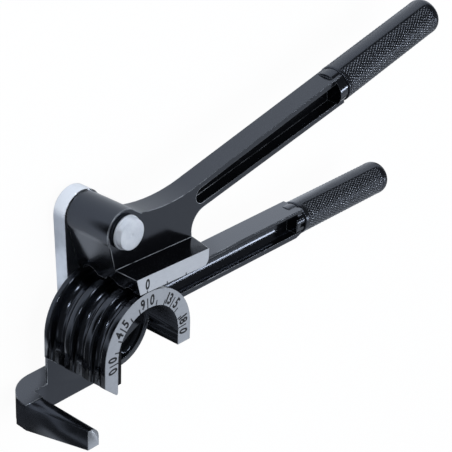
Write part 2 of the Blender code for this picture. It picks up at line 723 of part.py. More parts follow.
def former_pin_profile():
    """Pin with a flat head at the back, its shank ending inside the hub."""
    head = height(LINK_BACK + 2 * GAP + FORMER_WASHER_THICKNESS)
    top = height(WEB_FRONT + WEB_RECESS + GAP)
    return [
        (0, 0),
        (FORMER_HEAD_RADIUS - GAP, 0),
        (FORMER_HEAD_RADIUS, GAP),
        (FORMER_HEAD_RADIUS, head),
        (PIN_RADIUS, head),
        (PIN_RADIUS, top),
        (0, top),
    ]


def grip(name, radius, length, depth, place, material):
    """Sleeve with a blind bore over the spigot, an edge chamfer and a domed end."""
    bore = SPIGOT_RADIUS + GAP
    profile = [(0, depth), (bore, depth), (bore, 0), (radius - GRIP_EDGE, 0), (radius, GRIP_EDGE)]
    crown = radius * CROWN_SHARE
    quarter = math.pi / 2
    for step in range(CORNER_STEPS + 1):
        angle = quarter * step / CORNER_STEPS
        level = length - GRIP_DOME + GRIP_DOME * math.sin(angle)
        profile.append((crown + (radius - crown) * math.cos(angle), level))
    profile.append((0, length))
    return turned(name, profile, material, place)


def make_grip(side, radius, length, spigot_length, place, axis_point, middle, sleeve_material, pin_material):
    """A grip, its cross hole from the back, and the pin in it, whose end stays below the sleeve's surface."""
    obj = grip(f"{side}_grip", radius, length, spigot_length + GAP, place, sleeve_material)
    low = height(middle) - radius
    at_pin = Matrix.Translation((*axis_point, 0))
    cut(obj, rod(f"{side} grip hole", CROSS_PIN_RADIUS + GAP, low - OVERRUN, height(middle), place=at_pin))
    smooth(obj)
    pin = rod(f"{side}_grip_pin", CROSS_PIN_RADIUS, low + GRIP_EDGE, height(middle) - GAP, pin_material, at_pin)
    smooth(pin)
    return obj, pin


def hang(parent, *objects):
    """Parents objects to an empty on their joint's axis and keeps them where they are."""
    for obj in objects:
        obj.parent = parent
        obj.matrix_parent_inverse = parent.matrix_world.inverted()


def joint_empty(name, x, y):
    empty = bpy.data.objects.new(name, None)
    empty.location = (x, y, height(FORMER_DEPTH))
    bpy.context.scene.collection.objects.link(empty)
    bpy.context.view_layer.update()
    return empty


def main():
    for obj in list(bpy.data.objects):
        bpy.data.objects.remove(obj)

    black = paint("black_paint", (0.012, 0.012, 0.014), 0.2, 0)
    steel = paint("bright_steel", (0.6, 0.61, 0.64), 0.3, 1)
    grip_black = paint("knurled_black", (0.02, 0.02, 0.023), 0.4, 0)
    bronze = paint("bush_bronze", (0.5, 0.3, 0.12), 0.4, 1)
    dark_steel = paint("dark_steel", (0.12, 0.12, 0.13), 0.4, 1)

    at_pivot = Matrix.Translation((PIVOT.x, PIVOT.y, 0))
    make_former(black)
    lever = make_lever(black)
    link = make_link(steel)
    lever_pin = turned("lever_pin", lever_pin_profile(), steel, at_pivot)
    washer_back = height(WASHER_FRONT + WASHER_THICKNESS)
    washer = tube("lever_pin_washer", PIN_RADIUS + GAP, WASHER_RADIUS, washer_back, height(WASHER_FRONT),
                  steel, at_pivot)
    ring = retaining_ring("lever_pin_ring", dark_steel)
    lever_bush = tube("lever_bush", BUSH_BORE, BUSH_RADIUS, height(FORMER_DEPTH), height(LEVER_FRONT),
                      bronze, at_pivot)
    link_bush = tube("link_bush", BUSH_BORE, BUSH_RADIUS, height(LINK_BACK), height(LINK_FRONT), bronze)
    former_pin = turned("former_pin", former_pin_profile(), steel)
    thin_back = height(WASHER_FRONT + FORMER_WASHER_THICKNESS)
    thin_washer = tube("former_pin_washer", PIN_RADIUS + GAP, WASHER_RADIUS, thin_back, height(WASHER_FRONT), steel)
    for obj in (lever_pin, washer, ring, lever_bush, link_bush, former_pin, thin_washer):
        smooth(obj)

    place = along_x(LOWER_GRIP_START, LOWER_AXIS, LOWER_MIDDLE)
    make_grip("lower", LOWER_GRIP_RADIUS, LOWER_GRIP_LENGTH, LOWER_SPIGOT, place,
              (LOWER_PIN_PLACE, LOWER_AXIS), LOWER_MIDDLE, grip_black, dark_steel)
    place = along_handle(UPPER_GRIP_START, 0, LEVER_MIDDLE)
    upper_parts = make_grip("upper", UPPER_GRIP_RADIUS, UPPER_GRIP_LENGTH, UPPER_SPIGOT, place,
                            handle_point(UPPER_PIN_PLACE, 0), LEVER_MIDDLE, grip_black, dark_steel)

    link_joint = joint_empty("link axis", 0, 0)
    lever_joint = joint_empty("lever axis", PIVOT.x, PIVOT.y)
    hang(link_joint, link, link_bush, lever_pin, washer, ring, lever_joint)
    hang(lever_joint, lever, lever_bush, *upper_parts)


main()
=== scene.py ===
# %% [markdown]
# # Tube bending pliers, dressed for their picture
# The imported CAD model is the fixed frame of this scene. It brings the solids, where they are, and which
# body each of them moves with. This notebook gives every solid its finish, adds what is too fine for the
# solids (the knurling, the numbers and ticks of the scale), and sets up the floor, the light and the
# camera.

import math

import bmesh
import bpy
import numpy as np
from mathutils import Matrix, Vector


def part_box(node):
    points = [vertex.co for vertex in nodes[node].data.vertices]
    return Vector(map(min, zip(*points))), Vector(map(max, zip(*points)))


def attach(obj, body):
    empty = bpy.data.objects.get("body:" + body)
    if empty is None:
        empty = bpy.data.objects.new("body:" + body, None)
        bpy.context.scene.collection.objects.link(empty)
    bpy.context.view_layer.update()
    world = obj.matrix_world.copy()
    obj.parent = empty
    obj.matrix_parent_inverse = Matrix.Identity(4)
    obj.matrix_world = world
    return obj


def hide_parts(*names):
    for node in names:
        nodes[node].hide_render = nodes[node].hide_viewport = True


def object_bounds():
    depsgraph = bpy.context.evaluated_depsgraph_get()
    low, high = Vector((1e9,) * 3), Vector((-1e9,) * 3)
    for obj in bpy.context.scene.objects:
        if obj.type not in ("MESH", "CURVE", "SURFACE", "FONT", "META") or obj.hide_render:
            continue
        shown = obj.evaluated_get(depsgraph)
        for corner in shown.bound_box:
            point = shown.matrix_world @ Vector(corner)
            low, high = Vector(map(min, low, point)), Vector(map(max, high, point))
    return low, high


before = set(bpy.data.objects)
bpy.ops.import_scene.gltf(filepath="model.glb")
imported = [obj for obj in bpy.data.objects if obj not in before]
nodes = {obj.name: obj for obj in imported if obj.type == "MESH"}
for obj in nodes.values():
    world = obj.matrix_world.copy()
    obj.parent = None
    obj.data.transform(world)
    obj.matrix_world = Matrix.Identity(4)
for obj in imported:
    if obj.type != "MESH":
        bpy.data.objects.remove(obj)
cad_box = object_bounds()
FACE = cad_box[1].z
print("CAD nodes:", ", ".join(sorted(nodes)))
print("height of the scale's face above the floor, in metres:", round(FACE, 5))

# %% [markdown]
# ## Shader maths that reads like maths
# A finish is a graph of nodes. Written node by node it is hard to read, so a small class wraps an output
# socket and turns sums, products and comparisons of it into Math nodes. Every other node comes from one
# method, `node`.


# %% Wrapper for sockets, and the finish that makes nodes
BEVEL_SAMPLES = 6


class Signal:
    """An output socket that can be used in sums, products and steps; each of them adds a Math node."""

    def __init__(self, finish, socket):
        self.finish = finish
        self.socket = socket

    def math(self, operation, first, second):
        return self.finish.node("Math", {"operation": operation}, {0: first, 1: second})["Value"]

    def __add__(self, other):
        return self.math("ADD", self, other)

    __radd__ = __add__

    def __sub__(self, other):
        return self.math("SUBTRACT", self, other)

    def __rsub__(self, other):
        return self.math("SUBTRACT", other, self)

    def __mul__(self, other):
        return self.math("MULTIPLY", self, other)

    __rmul__ = __mul__

    def larger(self, other):
        return self.math("MAXIMUM", self, other)

    def step(self, low, high):
        """Zero below low, one above high, and a straight ramp between them."""
        values = {"Value": self, "From Min": low, "From Max": high, "To Min": 0, "To Max": 1}
        return self.finish.node("MapRange", {"clamp": True}, values)["Result"]


class Finish:
    """A material built round one Principled shader."""

    def __init__(self, name):
        self.material = bpy.data.materials.new(name)
        self.material.use_nodes = True
        self.tree = self.material.node_tree
        self.shader = self.tree.nodes["Principled BSDF"]
        coordinates = self.node("TexCoord")
        self.place = coordinates["Object"]
        axes = self.node("SeparateXYZ", values={"Vector": self.place})
        self.x, self.y, self.z = axes["X"], axes["Y"], axes["Z"]

    def node(self, kind, settings=None, values=None):
        """Adds a node: its settings first, and then what its inputs hold or follow."""
        made = self.tree.nodes.new("ShaderNode" + kind)
        for name, setting in (settings or {}).items():
            setattr(made, name, setting)
        for name, value in (values or {}).items():
            self.feed(made.inputs[name], value)
        return {socket.name: Signal(self, socket) for socket in made.outputs if socket.enabled}

    def feed(self, socket, value):
        if isinstance(value, Signal):
            self.tree.links.new(value.socket, socket)
        else:
            socket.default_value = value

    def mix(self, share, first, second):
        """A colour between two colours."""
        return self.node("Mix", {"data_type": "RGBA"}, {0: share, 6: first, 7: second})["Result"]

    def noise(self, size, detail=2.0, roughness=0.5, stretch=(1, 1, 1)):
        """Cloudy noise whose blobs are about size metres across, stretched along the axes."""
        scale = [share / size for share in stretch]
        vector = self.node("Mapping", values={"Vector": self.place, "Scale": scale})["Vector"]
        values = {"Vector": vector, "Scale": 1, "Detail": detail, "Roughness": roughness}
        return self.node("TexNoise", values=values)["Fac"]

    def rounded(self, radius):
        """The surface's normal with every edge rounded to a radius."""
        return self.node("Bevel", {"samples": BEVEL_SAMPLES}, {"Radius": radius})["Normal"]

    def edge(self, rounded):
        """How far the rounded normal leans from the face's own: zero on faces, more along sharp edges."""
        flat = self.node("NewGeometry")["Normal"]
        return 1 - self.node("VectorMath", {"operation": "DOT_PRODUCT"}, {0: rounded, 1: flat})["Value"]

    def bump(self, height, distance, normal=None):
        """A normal from a height between zero and one, which stands for a distance in metres."""
        values = {"Height": height, "Distance": distance, "Strength": 1}
        if normal is not None:
            values["Normal"] = normal
        return self.node("Bump", values=values)["Normal"]

    def shade(self, **values):
        """Sets the shader's sockets, named with underscores for spaces."""
        for name, value in values.items():
            self.feed(self.shader.inputs[name.replace("_", " ")], value)
        return self.material


print("shader tools are ready")

# %% [markdown]
# ## Camera
# The picture was taken from in front of the hook and above the lever's pin, with the pin's side up. The
# camera's turn, tilt and roll, its distance and its focal length were fitted to the rims of the former,
# whose sizes are known. Image points count from the top left corner of a square of 452 pixels.

# %% Camera at the photograph's viewing angle
IMAGE_SIDE = 452
SENSOR = 36.0
FOCAL_PIXELS = 1677.248
TURN = math.radians(-49.591)
TILT = math.radians(27.486)
ROLL = math.radians(2.271)
DISTANCE = 0.821457
AXIS_PIXEL = (148.782, 345.336)


def photo_camera():
    """Camera looking back along a direction given by turn and tilt, then rolled about its line of sight."""
    back = Vector((math.sin(TURN) * math.cos(TILT), math.sin(TILT), math.cos(TURN) * math.cos(TILT)))
    level_up = (Vector((0, 1, 0)) - back.y * back).normalized()
    level_right = level_up.cross(back)
    right = math.cos(ROLL) * level_right + math.sin(ROLL) * level_up
    up = back.cross(right)
    across = (AXIS_PIXEL[0] - IMAGE_SIDE / 2) * DISTANCE / FOCAL_PIXELS
    down = (AXIS_PIXEL[1] - IMAGE_SIDE / 2) * DISTANCE / FOCAL_PIXELS
    place = Vector((0, 0, FACE)) + back * DISTANCE - right * across + up * down
    data = bpy.data.cameras.new("camera")
    data.sensor_width = SENSOR
    data.lens = FOCAL_PIXELS * SENSOR / IMAGE_SIDE
    camera = bpy.data.objects.new("camera", data)
    camera.matrix_world = Matrix.Translation(place) @ Matrix((right, up, back)).transposed().to_4x4()
    bpy.context.scene.collection.objects.link(camera)
    bpy.context.scene.camera = camera
    return camera


camera = photo_camera()
print("lens in millimetres:", round(camera.data.lens, 1), "place:", [round(v, 3) for v in camera.location])

# %% [markdown]
# ## Glossy black paint
# Both castings are painted a deep glossy black. Real paint on a casting is never quite flat: it follows
# the sand's texture in slow waves, has a fine orange peel, and collects a little dust. Along parts of its
# sharp edges, most of all round the former and the shoe, the colour is a pale metal: partly wear to the
# metal, partly a painted highlight along the edges. On the outside of the hook the paint is rougher and a
# little lighter, most towards the floor; the lighter colour there is a painted sheen. The gloss is the base
# layer's own reflection, so that the bump bends it. A Bevel node rounds the edges in the light, and the
# same node finds them for the wear and the painted edge highlight: there its normal leans away from the
# face's own.

# %% Black paint, with bare faces where the castings are machined
PAINT = (0.0022, 0.0023, 0.0027, 1)
PAINT_DUSTY = (0.009, 0.0095, 0.011, 1)
# Lighter paint on the outside of the hook: a painted sheen
PAINT_HOOK_SHEEN = (0.020, 0.021, 0.025, 1)
PAINT_TINT = (0.76, 0.83, 1, 1)
PAINT_IOR = 1.7
# Pale metal on the edges: partly wear, partly a painted highlight along them
EDGE_WEAR_AND_HIGHLIGHT = (0.42, 0.435, 0.46, 1)
FORMER_BRIGHT = (0.56, 0.575, 0.60, 1)
FORMER_DULL = (0.30, 0.31, 0.335, 1)
LEVER_BRIGHT = (0.72, 0.735, 0.765, 1)
LEVER_DULL = (0.50, 0.51, 0.54, 1)
METAL_SHARE = 0.6
# Sizes of waves, clouds and grains, in metres, and the height that the bump stands for
PEEL_SIZE = 0.0011
WAVE_SIZE = 0.009
DUST_SIZE = 0.004
EDGE_PATCH_SIZE = 0.007
GLOSS_SIZE = 0.02
GRAIN_SIZE = 0.0003
STAIN_SIZE = 0.003
BRUSHED = (0.1, 1, 1)
BUMP_HEIGHT = 0.00002
PEEL_SHARE = 0.2
GRAIN_SHARE = 0.4
# Spans of a noise, or of the lean of the normal, over which dust, and the wear with its painted edge
# highlight, come in
DUST_SPAN = (0.55, 0.85)
EDGE_PATCH_SPAN = (0.3, 0.55)
EDGE_SPAN = (0.02, 0.12)
# Roughness of clean paint and what is added to it, and that of the machined faces
PAINT_ROUGHNESS = 0.11
GLOSS_CHANGE = 0.08
DUST_ROUGHNESS = 0.12
HOOK_SHEEN_ROUGHNESS = 0.1
FACE_ROUGHNESS = 0.34
GRAIN_ROUGHNESS = 0.2
MOTTLE = 0.45
# Where the outside of the hook has its painted sheen and rougher paint, in metres
HOOK_SHEEN_X = -0.034
HOOK_SHEEN_Y = -0.030
HOOK_SHEEN_FADE = 0.004
HOOK_SHEEN_HIGH = 0.036
HOOK_SHEEN_LOW = 0.018
# Wear and its painted edge highlight start outside the former's bore, and little of them is left on the
# handles
WEAR_AND_HIGHLIGHT_RADIUS = 0.0007
WEAR_AND_HIGHLIGHT_REACH = 0.0205
HANDLE_START = 0.075
HANDLE_FADE = 0.02
HANDLE_WEAR_AND_HIGHLIGHT = 0.2
EDGE_RADIUS = 0.0005
# How deep the face's inlaid marks lie, and how deep below the top of the model the metal is bare
INLAY = 0.00002
MACHINED = 0.00006


def black_paint(name, bright, dull):
    """Gloss paint. What faces up at the top of the model is bare metal, from a bright to a dull colour."""
    finish = Finish(name)
    rounded = finish.rounded(EDGE_RADIUS)
    peel = finish.noise(PEEL_SIZE, detail=1)
    waves = finish.noise(WAVE_SIZE, detail=2)
    dust = finish.noise(DUST_SIZE, detail=6, roughness=0.7).step(*DUST_SPAN)
    colour = finish.mix(dust, PAINT, PAINT_DUSTY)
    flattened = finish.node("Mapping", values={"Vector": finish.place, "Scale": (1, 1, 0)})["Vector"]
    reach = finish.node("VectorMath", {"operation": "LENGTH"}, {0: flattened})["Value"]
    wear_and_highlight_patches = finish.noise(EDGE_PATCH_SIZE, detail=4).step(*EDGE_PATCH_SPAN)
    wear_and_highlight_patches = wear_and_highlight_patches * reach.step(WEAR_AND_HIGHLIGHT_REACH, WEAR_AND_HIGHLIGHT_REACH + WEAR_AND_HIGHLIGHT_RADIUS)
    near = reach.step(HANDLE_START + HANDLE_FADE, HANDLE_START)
    wear_and_highlight_patches = wear_and_highlight_patches * (HANDLE_WEAR_AND_HIGHLIGHT + (1 - HANDLE_WEAR_AND_HIGHLIGHT) * near)
    # Edges turn pale metal here: partly wear, partly a painted highlight
    worn = finish.edge(finish.rounded(WEAR_AND_HIGHLIGHT_RADIUS)).step(*EDGE_SPAN) * wear_and_highlight_patches
    colour = finish.mix(worn, colour, EDGE_WEAR_AND_HIGHLIGHT)
    # The outside of the hook, lighter most towards the floor: a painted sheen, with rougher paint there too
    hook_sheen = finish.x.step(HOOK_SHEEN_X + HOOK_SHEEN_FADE, HOOK_SHEEN_X)
    hook_sheen = hook_sheen * finish.y.step(HOOK_SHEEN_Y + HOOK_SHEEN_FADE, HOOK_SHEEN_Y)
    hook_sheen = hook_sheen * finish.z.step(HOOK_SHEEN_HIGH, HOOK_SHEEN_LOW)
    colour = finish.mix(hook_sheen, colour, PAINT_HOOK_SHEEN)
    rough = PAINT_ROUGHNESS + GLOSS_CHANGE * finish.noise(GLOSS_SIZE)
    rough = rough + DUST_ROUGHNESS * dust + HOOK_SHEEN_ROUGHNESS * hook_sheen
    face = finish.z.step(FACE - 2 * MACHINED, FACE - MACHINED)
    grain = finish.noise(GRAIN_SIZE, detail=3, stretch=BRUSHED)
    stain = finish.noise(STAIN_SIZE, detail=5, roughness=0.65)
    metal = finish.mix(grain * MOTTLE + stain * MOTTLE, bright, dull)
    height = peel * PEEL_SHARE + waves * (1 - face) + grain * GRAIN_SHARE * face
    skin = finish.bump(height, BUMP_HEIGHT, rounded)
    colour = finish.mix(face, colour, metal)
    rough = rough * (1 - face) + (FACE_ROUGHNESS + GRAIN_ROUGHNESS * grain) * face
    finish.shade(Specular_Tint=PAINT_TINT, IOR=PAINT_IOR)
    return finish.shade(Base_Color=colour, Roughness=rough, Metallic=face * METAL_SHARE, Normal=skin)


former_paint = black_paint("former_black_paint", FORMER_BRIGHT, FORMER_DULL)
lever_paint = black_paint("lever_black_paint", LEVER_BRIGHT, LEVER_DULL)
print("paint nodes:", len(former_paint.node_tree.nodes))

# %% [markdown]
# ## Steel, bronze and blackened steel
# The link and the pins are ground steel: bright, with fine scratches one way and faint stains. The link's
# round top is smoother than its side, and its lighter colour there is a painted highlight. Turned faces
# carry rings round their own axis, which a Wave texture draws. The bushes are bronze, and the snap ring and
# the cross pins are blackened.

# %% Metals
STEEL = (0.58, 0.61, 0.67, 1)
STEEL_DULL = (0.43, 0.455, 0.50, 1)
BRONZE = (0.55, 0.36, 0.16, 1)
BRONZE_DULL = (0.34, 0.21, 0.09, 1)
BLACKENED = (0.085, 0.085, 0.095, 1)
BLACKENED_WORN = (0.22, 0.22, 0.235, 1)
# Bright steel of turned faces, and of the link's round top, where the lighter colour is a painted highlight
POLISHED = (0.86, 0.88, 0.92, 1)
POLISH_AND_HIGHLIGHT_FADE = 0.004
POLISH_GAIN = 0.4
TURNED_SHARE = 0.7
RINGS_SCALE = 900
RINGS_WAVER = 0.4
RINGS_SHARE = 0.6
METAL_STAIN_SIZE = 0.006
METAL_STAIN_SPAN = (0.35, 0.75)
# How much the grain and the stains dull the colour, and how much they roughen the metal
GRAIN_TONE = 0.35
STAIN_TONE = 0.55
SCRATCH_ROUGHNESS = 0.16
STAIN_ROUGHNESS = 0.14
METAL_BUMP = 0.000008
METAL_EDGE = 0.0006


def metal(name, bright, dull, rough, grain, stretch=(1, 1, 1), axis=None, share=1.0, polish_and_highlight_from=None):
    """Metal with a directed grain and cloudy stains, with rings if it is turned, and a smoother, lighter
    end: a painted highlight.
    """
    finish = Finish(name)
    height = finish.noise(grain, detail=4, stretch=stretch)
    stain = finish.noise(METAL_STAIN_SIZE, detail=5, roughness=0.6)
    if axis is not None:
        values = {"Vector": finish.place, "Location": (-axis[0], -axis[1], 0)}
        centred = finish.node("Mapping", values=values)["Vector"]
        values = {"Vector": centred, "Scale": RINGS_SCALE, "Distortion": RINGS_WAVER, "Detail": 1}
        rings = finish.node("TexWave", {"wave_type": "RINGS", "rings_direction": "Z"}, values)["Fac"]
        height = height * (1 - RINGS_SHARE) + rings * RINGS_SHARE
    stained = stain.step(*METAL_STAIN_SPAN)
    colour = finish.mix(height * GRAIN_TONE + stained * STAIN_TONE, bright, dull)
    roughness = rough + SCRATCH_ROUGHNESS * height + STAIN_ROUGHNESS * stain
    if polish_and_highlight_from is not None:
        # The link's round end above the pin's axis is smoother, and lighter: a painted highlight
        polish_and_highlight = finish.y.step(polish_and_highlight_from, polish_and_highlight_from + POLISH_AND_HIGHLIGHT_FADE)
        colour = finish.mix(polish_and_highlight, colour, POLISHED)
        roughness = roughness * (1 - POLISH_GAIN * polish_and_highlight)
    normal = finish.bump(height, METAL_BUMP, finish.rounded(METAL_EDGE))
    return finish.shade(Base_Color=colour, Roughness=roughness, Metallic=share, Normal=normal)


pin_axis = sum(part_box("lever_pin"), Vector()) / 2
steel = metal("bright_steel", STEEL, STEEL_DULL, rough=0.22, grain=0.0006, stretch=(1, 0.06, 1),
              polish_and_highlight_from=pin_axis.y)
turned_steel = metal("turned_steel", POLISHED, STEEL, rough=0.26, grain=0.0004, axis=pin_axis,
                     share=TURNED_SHARE)
former_pin_steel = metal("former_pin_steel", STEEL, STEEL_DULL, rough=0.26, grain=0.0004, axis=Vector())
bronze = metal("bush_bronze", BRONZE, BRONZE_DULL, rough=0.3, grain=0.0004, stretch=(1, 1, 0.2))
blackened = metal("dark_steel", BLACKENED_WORN, BLACKENED, rough=0.34, grain=0.0005)
print("pin axis:", [round(v, 5) for v in pin_axis])

# %% [markdown]
# ## Smooth castings and small parts
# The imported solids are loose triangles, so their round faces would show facets. Each visible solid is
# copied, its corners are merged and its flat faces joined. Then it is shaded smooth, but stays crisp at
# edges over an angle, which is smaller for the lever, whose broad flat side would otherwise catch streaks
# of light from its edges. The scale's face is sunk by a hair, so that the inlaid marks can lie on it and
# still be inside the solid.

# %% Smooth copies that replace the CAD nodes
MERGE = 0.000002
FLAT_ANGLE = math.radians(0.3)
CRISP_ANGLE = math.radians(48)
PLATE_CRISP_ANGLE = math.radians(28)
STRONG_FACES = 100


def add_object(name, mesh, finish, body):
    """A new piece of the scene that rides on a body."""
    mesh.materials.append(finish)
    obj = bpy.data.objects.new(name, mesh)
    bpy.context.scene.collection.objects.link(obj)
    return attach(obj, body)


def smooth_copy(node, body, finish, crisp=CRISP_ANGLE):
    """Stands for a CAD node: the same shape with smooth round faces and crisp edges."""
    work = bmesh.new()
    work.from_mesh(nodes[node].data)
    bmesh.ops.remove_doubles(work, verts=work.verts, dist=MERGE)
    bmesh.ops.dissolve_limit(work, angle_limit=FLAT_ANGLE, verts=work.verts, edges=work.edges)
    for vertex in work.verts:
        if vertex.co.z > FACE - INLAY:
            vertex.co.z -= INLAY
    mesh = bpy.data.meshes.new(node + "_smooth")
    work.to_mesh(mesh)
    work.free()
    mesh.shade_smooth()
    mesh.set_sharp_from_angle(angle=crisp)
    obj = add_object(node + "_smooth", mesh, finish, body)
    flatten = obj.modifiers.new("flat faces stay flat", "WEIGHTED_NORMAL")
    flatten.keep_sharp = True
    flatten.weight = STRONG_FACES
    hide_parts(node)
    print(obj.name, "faces:", len(mesh.polygons))
    return obj


smooth_copy("former_casting", "former", former_paint)
smooth_copy("shoe_lever", "lever", lever_paint, PLATE_CRISP_ANGLE)
smooth_copy("link_bar", "link", steel)
smooth_copy("lever_pin_washer", "link", turned_steel)
smooth_copy("former_pin_washer", "former", former_pin_steel)
smooth_copy("lever_pin_ring", "link", blackened)
smooth_copy("lever_bush", "lever", bronze)
smooth_copy("link_bush", "link", bronze)
smooth_copy("lower_grip_pin", "former", blackened)
smooth_copy("upper_grip_pin", "lever", blackened)

# %% [markdown]
# ## Turned parts
# Pins and grips are turned on a lathe. One helper makes them all from a profile: places along the axis,
# and a radius at each place. The radius may also change round the axis, which is how the knurl is cut
# later. The first and last radius are zero, so both ends close in one point. The sharp corners of a pin's
# profile are eased first, since no turned part has perfectly sharp edges.

# %% Turned pins
TURN_STEPS = 128
EASE_STEPS = 4
LONGEST_EASE = 0.45
UPRIGHT = 0.5


def eased(profile, radius):
    """Rounds the corners of a profile: each becomes a short parabola between points a radius from it."""
    points = [np.array(point, float) for point in profile]
    rounded = [points[0]]
    share = np.linspace(0, 1, EASE_STEPS)[:, None]
    for before, corner, after in zip(points, points[1:], points[2:]):
        ends = []
        for other in (before, after):
            length = np.linalg.norm(other - corner)
            ends.append(corner + (other - corner) * min(radius / length, LONGEST_EASE))
        rounded.extend((1 - share) ** 2 * ends[0] + 2 * share * (1 - share) * corner + share ** 2 * ends[1])
    return np.array(rounded + [points[-1]])


def turned(name, origin, axis, along, radius, finish, body, node):
    """A closed surface round an axis: points are origin + along * axis + radius * unit vector round it.

    radius has a row for each place along the axis and a column for each step round it."""
    axis = np.array(axis, float)
    side = np.array((1.0, 0, 0)) if abs(axis[2]) > UPRIGHT else np.array((-axis[1], axis[0], 0))
    lift = np.cross(axis, side)
    columns = radius.shape[1]
    angle = math.tau * np.arange(columns) / columns
    ring = np.cos(angle)[:, None] * side + np.sin(angle)[:, None] * lift
    points = np.array(origin) + along[:, None, None] * axis + radius[:, :, None] * ring
    poles = points[[0, -1], 0]
    points = points[1:-1].reshape(-1, 3)
    rows = len(along) - 2
    row, column = np.meshgrid(np.arange(rows - 1) * columns, np.arange(columns), indexing="ij")
    after = (column + 1) % columns
    corners = (row + column, row + after, row + columns + after, row + columns + column)
    quads = np.stack([corner.ravel() for corner in corners], axis=1)
    column, after = column[0], after[0]
    low = np.stack([after, column, np.full(columns, len(points))], axis=1)
    last = (rows - 1) * columns
    high = np.stack([last + column, last + after, np.full(columns, len(points) + 1)], axis=1)
    mesh = bpy.data.meshes.new(name)
    faces = quads.tolist() + low.tolist() + high.tolist()
    mesh.from_pydata(np.concatenate([points, poles]).tolist(), [], faces)
    mesh.shade_smooth()
    obj = add_object(name, mesh, finish, body)
    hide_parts(node)
    print(name, "faces:", len(mesh.polygons))
    return obj


def turned_part(node, body, profile, ease, finish):
    """A round part about a vertical axis, in place of a CAD node, from a profile of (height, radius)."""
    low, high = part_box(node)
    outline = eased(profile, ease)
    radius = np.repeat(outline[:, 1:], TURN_STEPS, axis=1)
    origin = ((low.x + high.x) / 2, (low.y + high.y) / 2, 0)
    name = node + "_turned"
    return turned(name, origin, (0, 0, 1), outline[:, 0], radius, finish, body, node)


HEAD_HEIGHT = 0.0051
HEAD_RADIUS = 0.0081
# A height or depth, and a radius
HEAD_NECK = (0.0009, 0.0078)
HEAD_FLANGE = (0.0012, 0.0089)
CENTRE_DRILL = (0.0004, 0.0009)
PIN_RADIUS = 0.005
PIN_EDGE = 0.0004
RING_GROOVE = 0.0009
RING_PLAY = 0.0003
pin_low, pin_top = [corner.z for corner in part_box("lever_pin")]
ring_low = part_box("lever_pin_ring")[0].z - RING_PLAY
ring_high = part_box("lever_pin_ring")[1].z + RING_PLAY
under = pin_top - HEAD_HEIGHT
flange_low = under + HEAD_NECK[0]
flange_high = flange_low + HEAD_FLANGE[0]
turned_part("lever_pin", "link", [
    (pin_low, 0),
    (pin_low, PIN_RADIUS),
    (ring_low, PIN_RADIUS),
    (ring_low, PIN_RADIUS - RING_GROOVE),
    (ring_high, PIN_RADIUS - RING_GROOVE),
    (ring_high, PIN_RADIUS),
    (under, PIN_RADIUS),
    (under, HEAD_NECK[1]),
    (flange_low, HEAD_NECK[1]),
    (flange_low, HEAD_FLANGE[1]),
    (flange_high, HEAD_FLANGE[1]),
    (flange_high, HEAD_RADIUS),
    (pin_top, HEAD_RADIUS),
    (pin_top, CENTRE_DRILL[1]),
    (pin_top - CENTRE_DRILL[0], 0),
], PIN_EDGE, turned_steel)
low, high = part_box("former_pin")
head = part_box("former_pin_washer")[0].z - RING_PLAY
head_radius = (high.x - low.x) / 2
turned_part("former_pin", "former", [
    (CENTRE_DRILL[0], 0),
    (0, CENTRE_DRILL[1]),
    (0, head_radius),
    (head, head_radius),
    (head, PIN_RADIUS),
    (high.z, PIN_RADIUS),
    (high.z, 0),
], PIN_EDGE, former_pin_steel)

# %% [markdown]
# ## Knurled grips
# The grips are black sleeves with a fine diamond knurl on the front and the back, and a smooth band along
# the top and the bottom. Each reaches over the round collar at the end of its beam. A knurl is two
# families of helical grooves that cross, so the radius drops in both families at once. The flanks are
# straight, like those of a knurling wheel: a triangle wave of the phase, not a sine. Real geometry is
# worth it here, because the sparkle of the worn tips of the little pyramids is what the eye sees in the
# photograph.

# %% Finish of the grips
TIP_ATTRIBUTE = "knurl_tip"
KNURL_BLACK = (0.003, 0.0031, 0.0036, 1)
KNURL_WORN = (0.70, 0.73, 0.78, 1)
TIP_SPAN = (0.64, 0.92)
WORN_EVERYWHERE = 0.7
WORN_IN_PATCHES = 0.3
PATCH_SIZE = 0.008
PATCH_SPAN = (0.3, 0.75)
FINE_SIZE = 0.0005
GRIP_ROUGHNESS = 0.2
FINE_ROUGHNESS = 0.1
PATCH_ROUGHNESS = 0.08
GRIP_BUMP = 0.00001


def knurl_finish():
    """Satin black, worn to the bare metal on the tips of the pyramids. The mesh says where the tips are."""
    finish = Finish("knurled_black")
    tips = finish.node("Attribute", {"attribute_name": TIP_ATTRIBUTE})["Fac"].step(*TIP_SPAN)
    patches = finish.noise(PATCH_SIZE, detail=4).step(*PATCH_SPAN)
    fine = finish.noise(FINE_SIZE, detail=2)
    worn = tips * (WORN_EVERYWHERE + WORN_IN_PATCHES * patches)
    colour = finish.mix(worn, KNURL_BLACK, KNURL_WORN)
    rough = GRIP_ROUGHNESS + FINE_ROUGHNESS * fine + PATCH_ROUGHNESS * patches
    skin = finish.bump(fine, GRIP_BUMP)
    finish.shade(Specular_Tint=PAINT_TINT, IOR=PAINT_IOR)
    return finish.shade(Base_Color=colour, Roughness=rough, Metallic=worn, Normal=skin)


knurled = knurl_finish()
print("grip finish:", knurled.name)

# %% Both sleeves, with their knurl
# One pyramid of the knurl, in metres and in steps of the mesh, and how far the knurl ends before the dome
KNURL_LENGTH = 0.0029
KNURL_WIDTH = 0.00164
KNURL_DEPTH = 0.0004
KNURL_SAMPLES = 8
KNURL_END = 0.001
# The smooth bands, and the sleeve's own edge and dome
BAND_HALF_ANGLE = math.radians(20)
BAND_EDGE = 0.03
SLEEVE_EDGE = 0.0005
SLEEVE_DOME = 0.0045
SLEEVE_CROWN_SHARE = 0.67
DOME_STEPS = 12
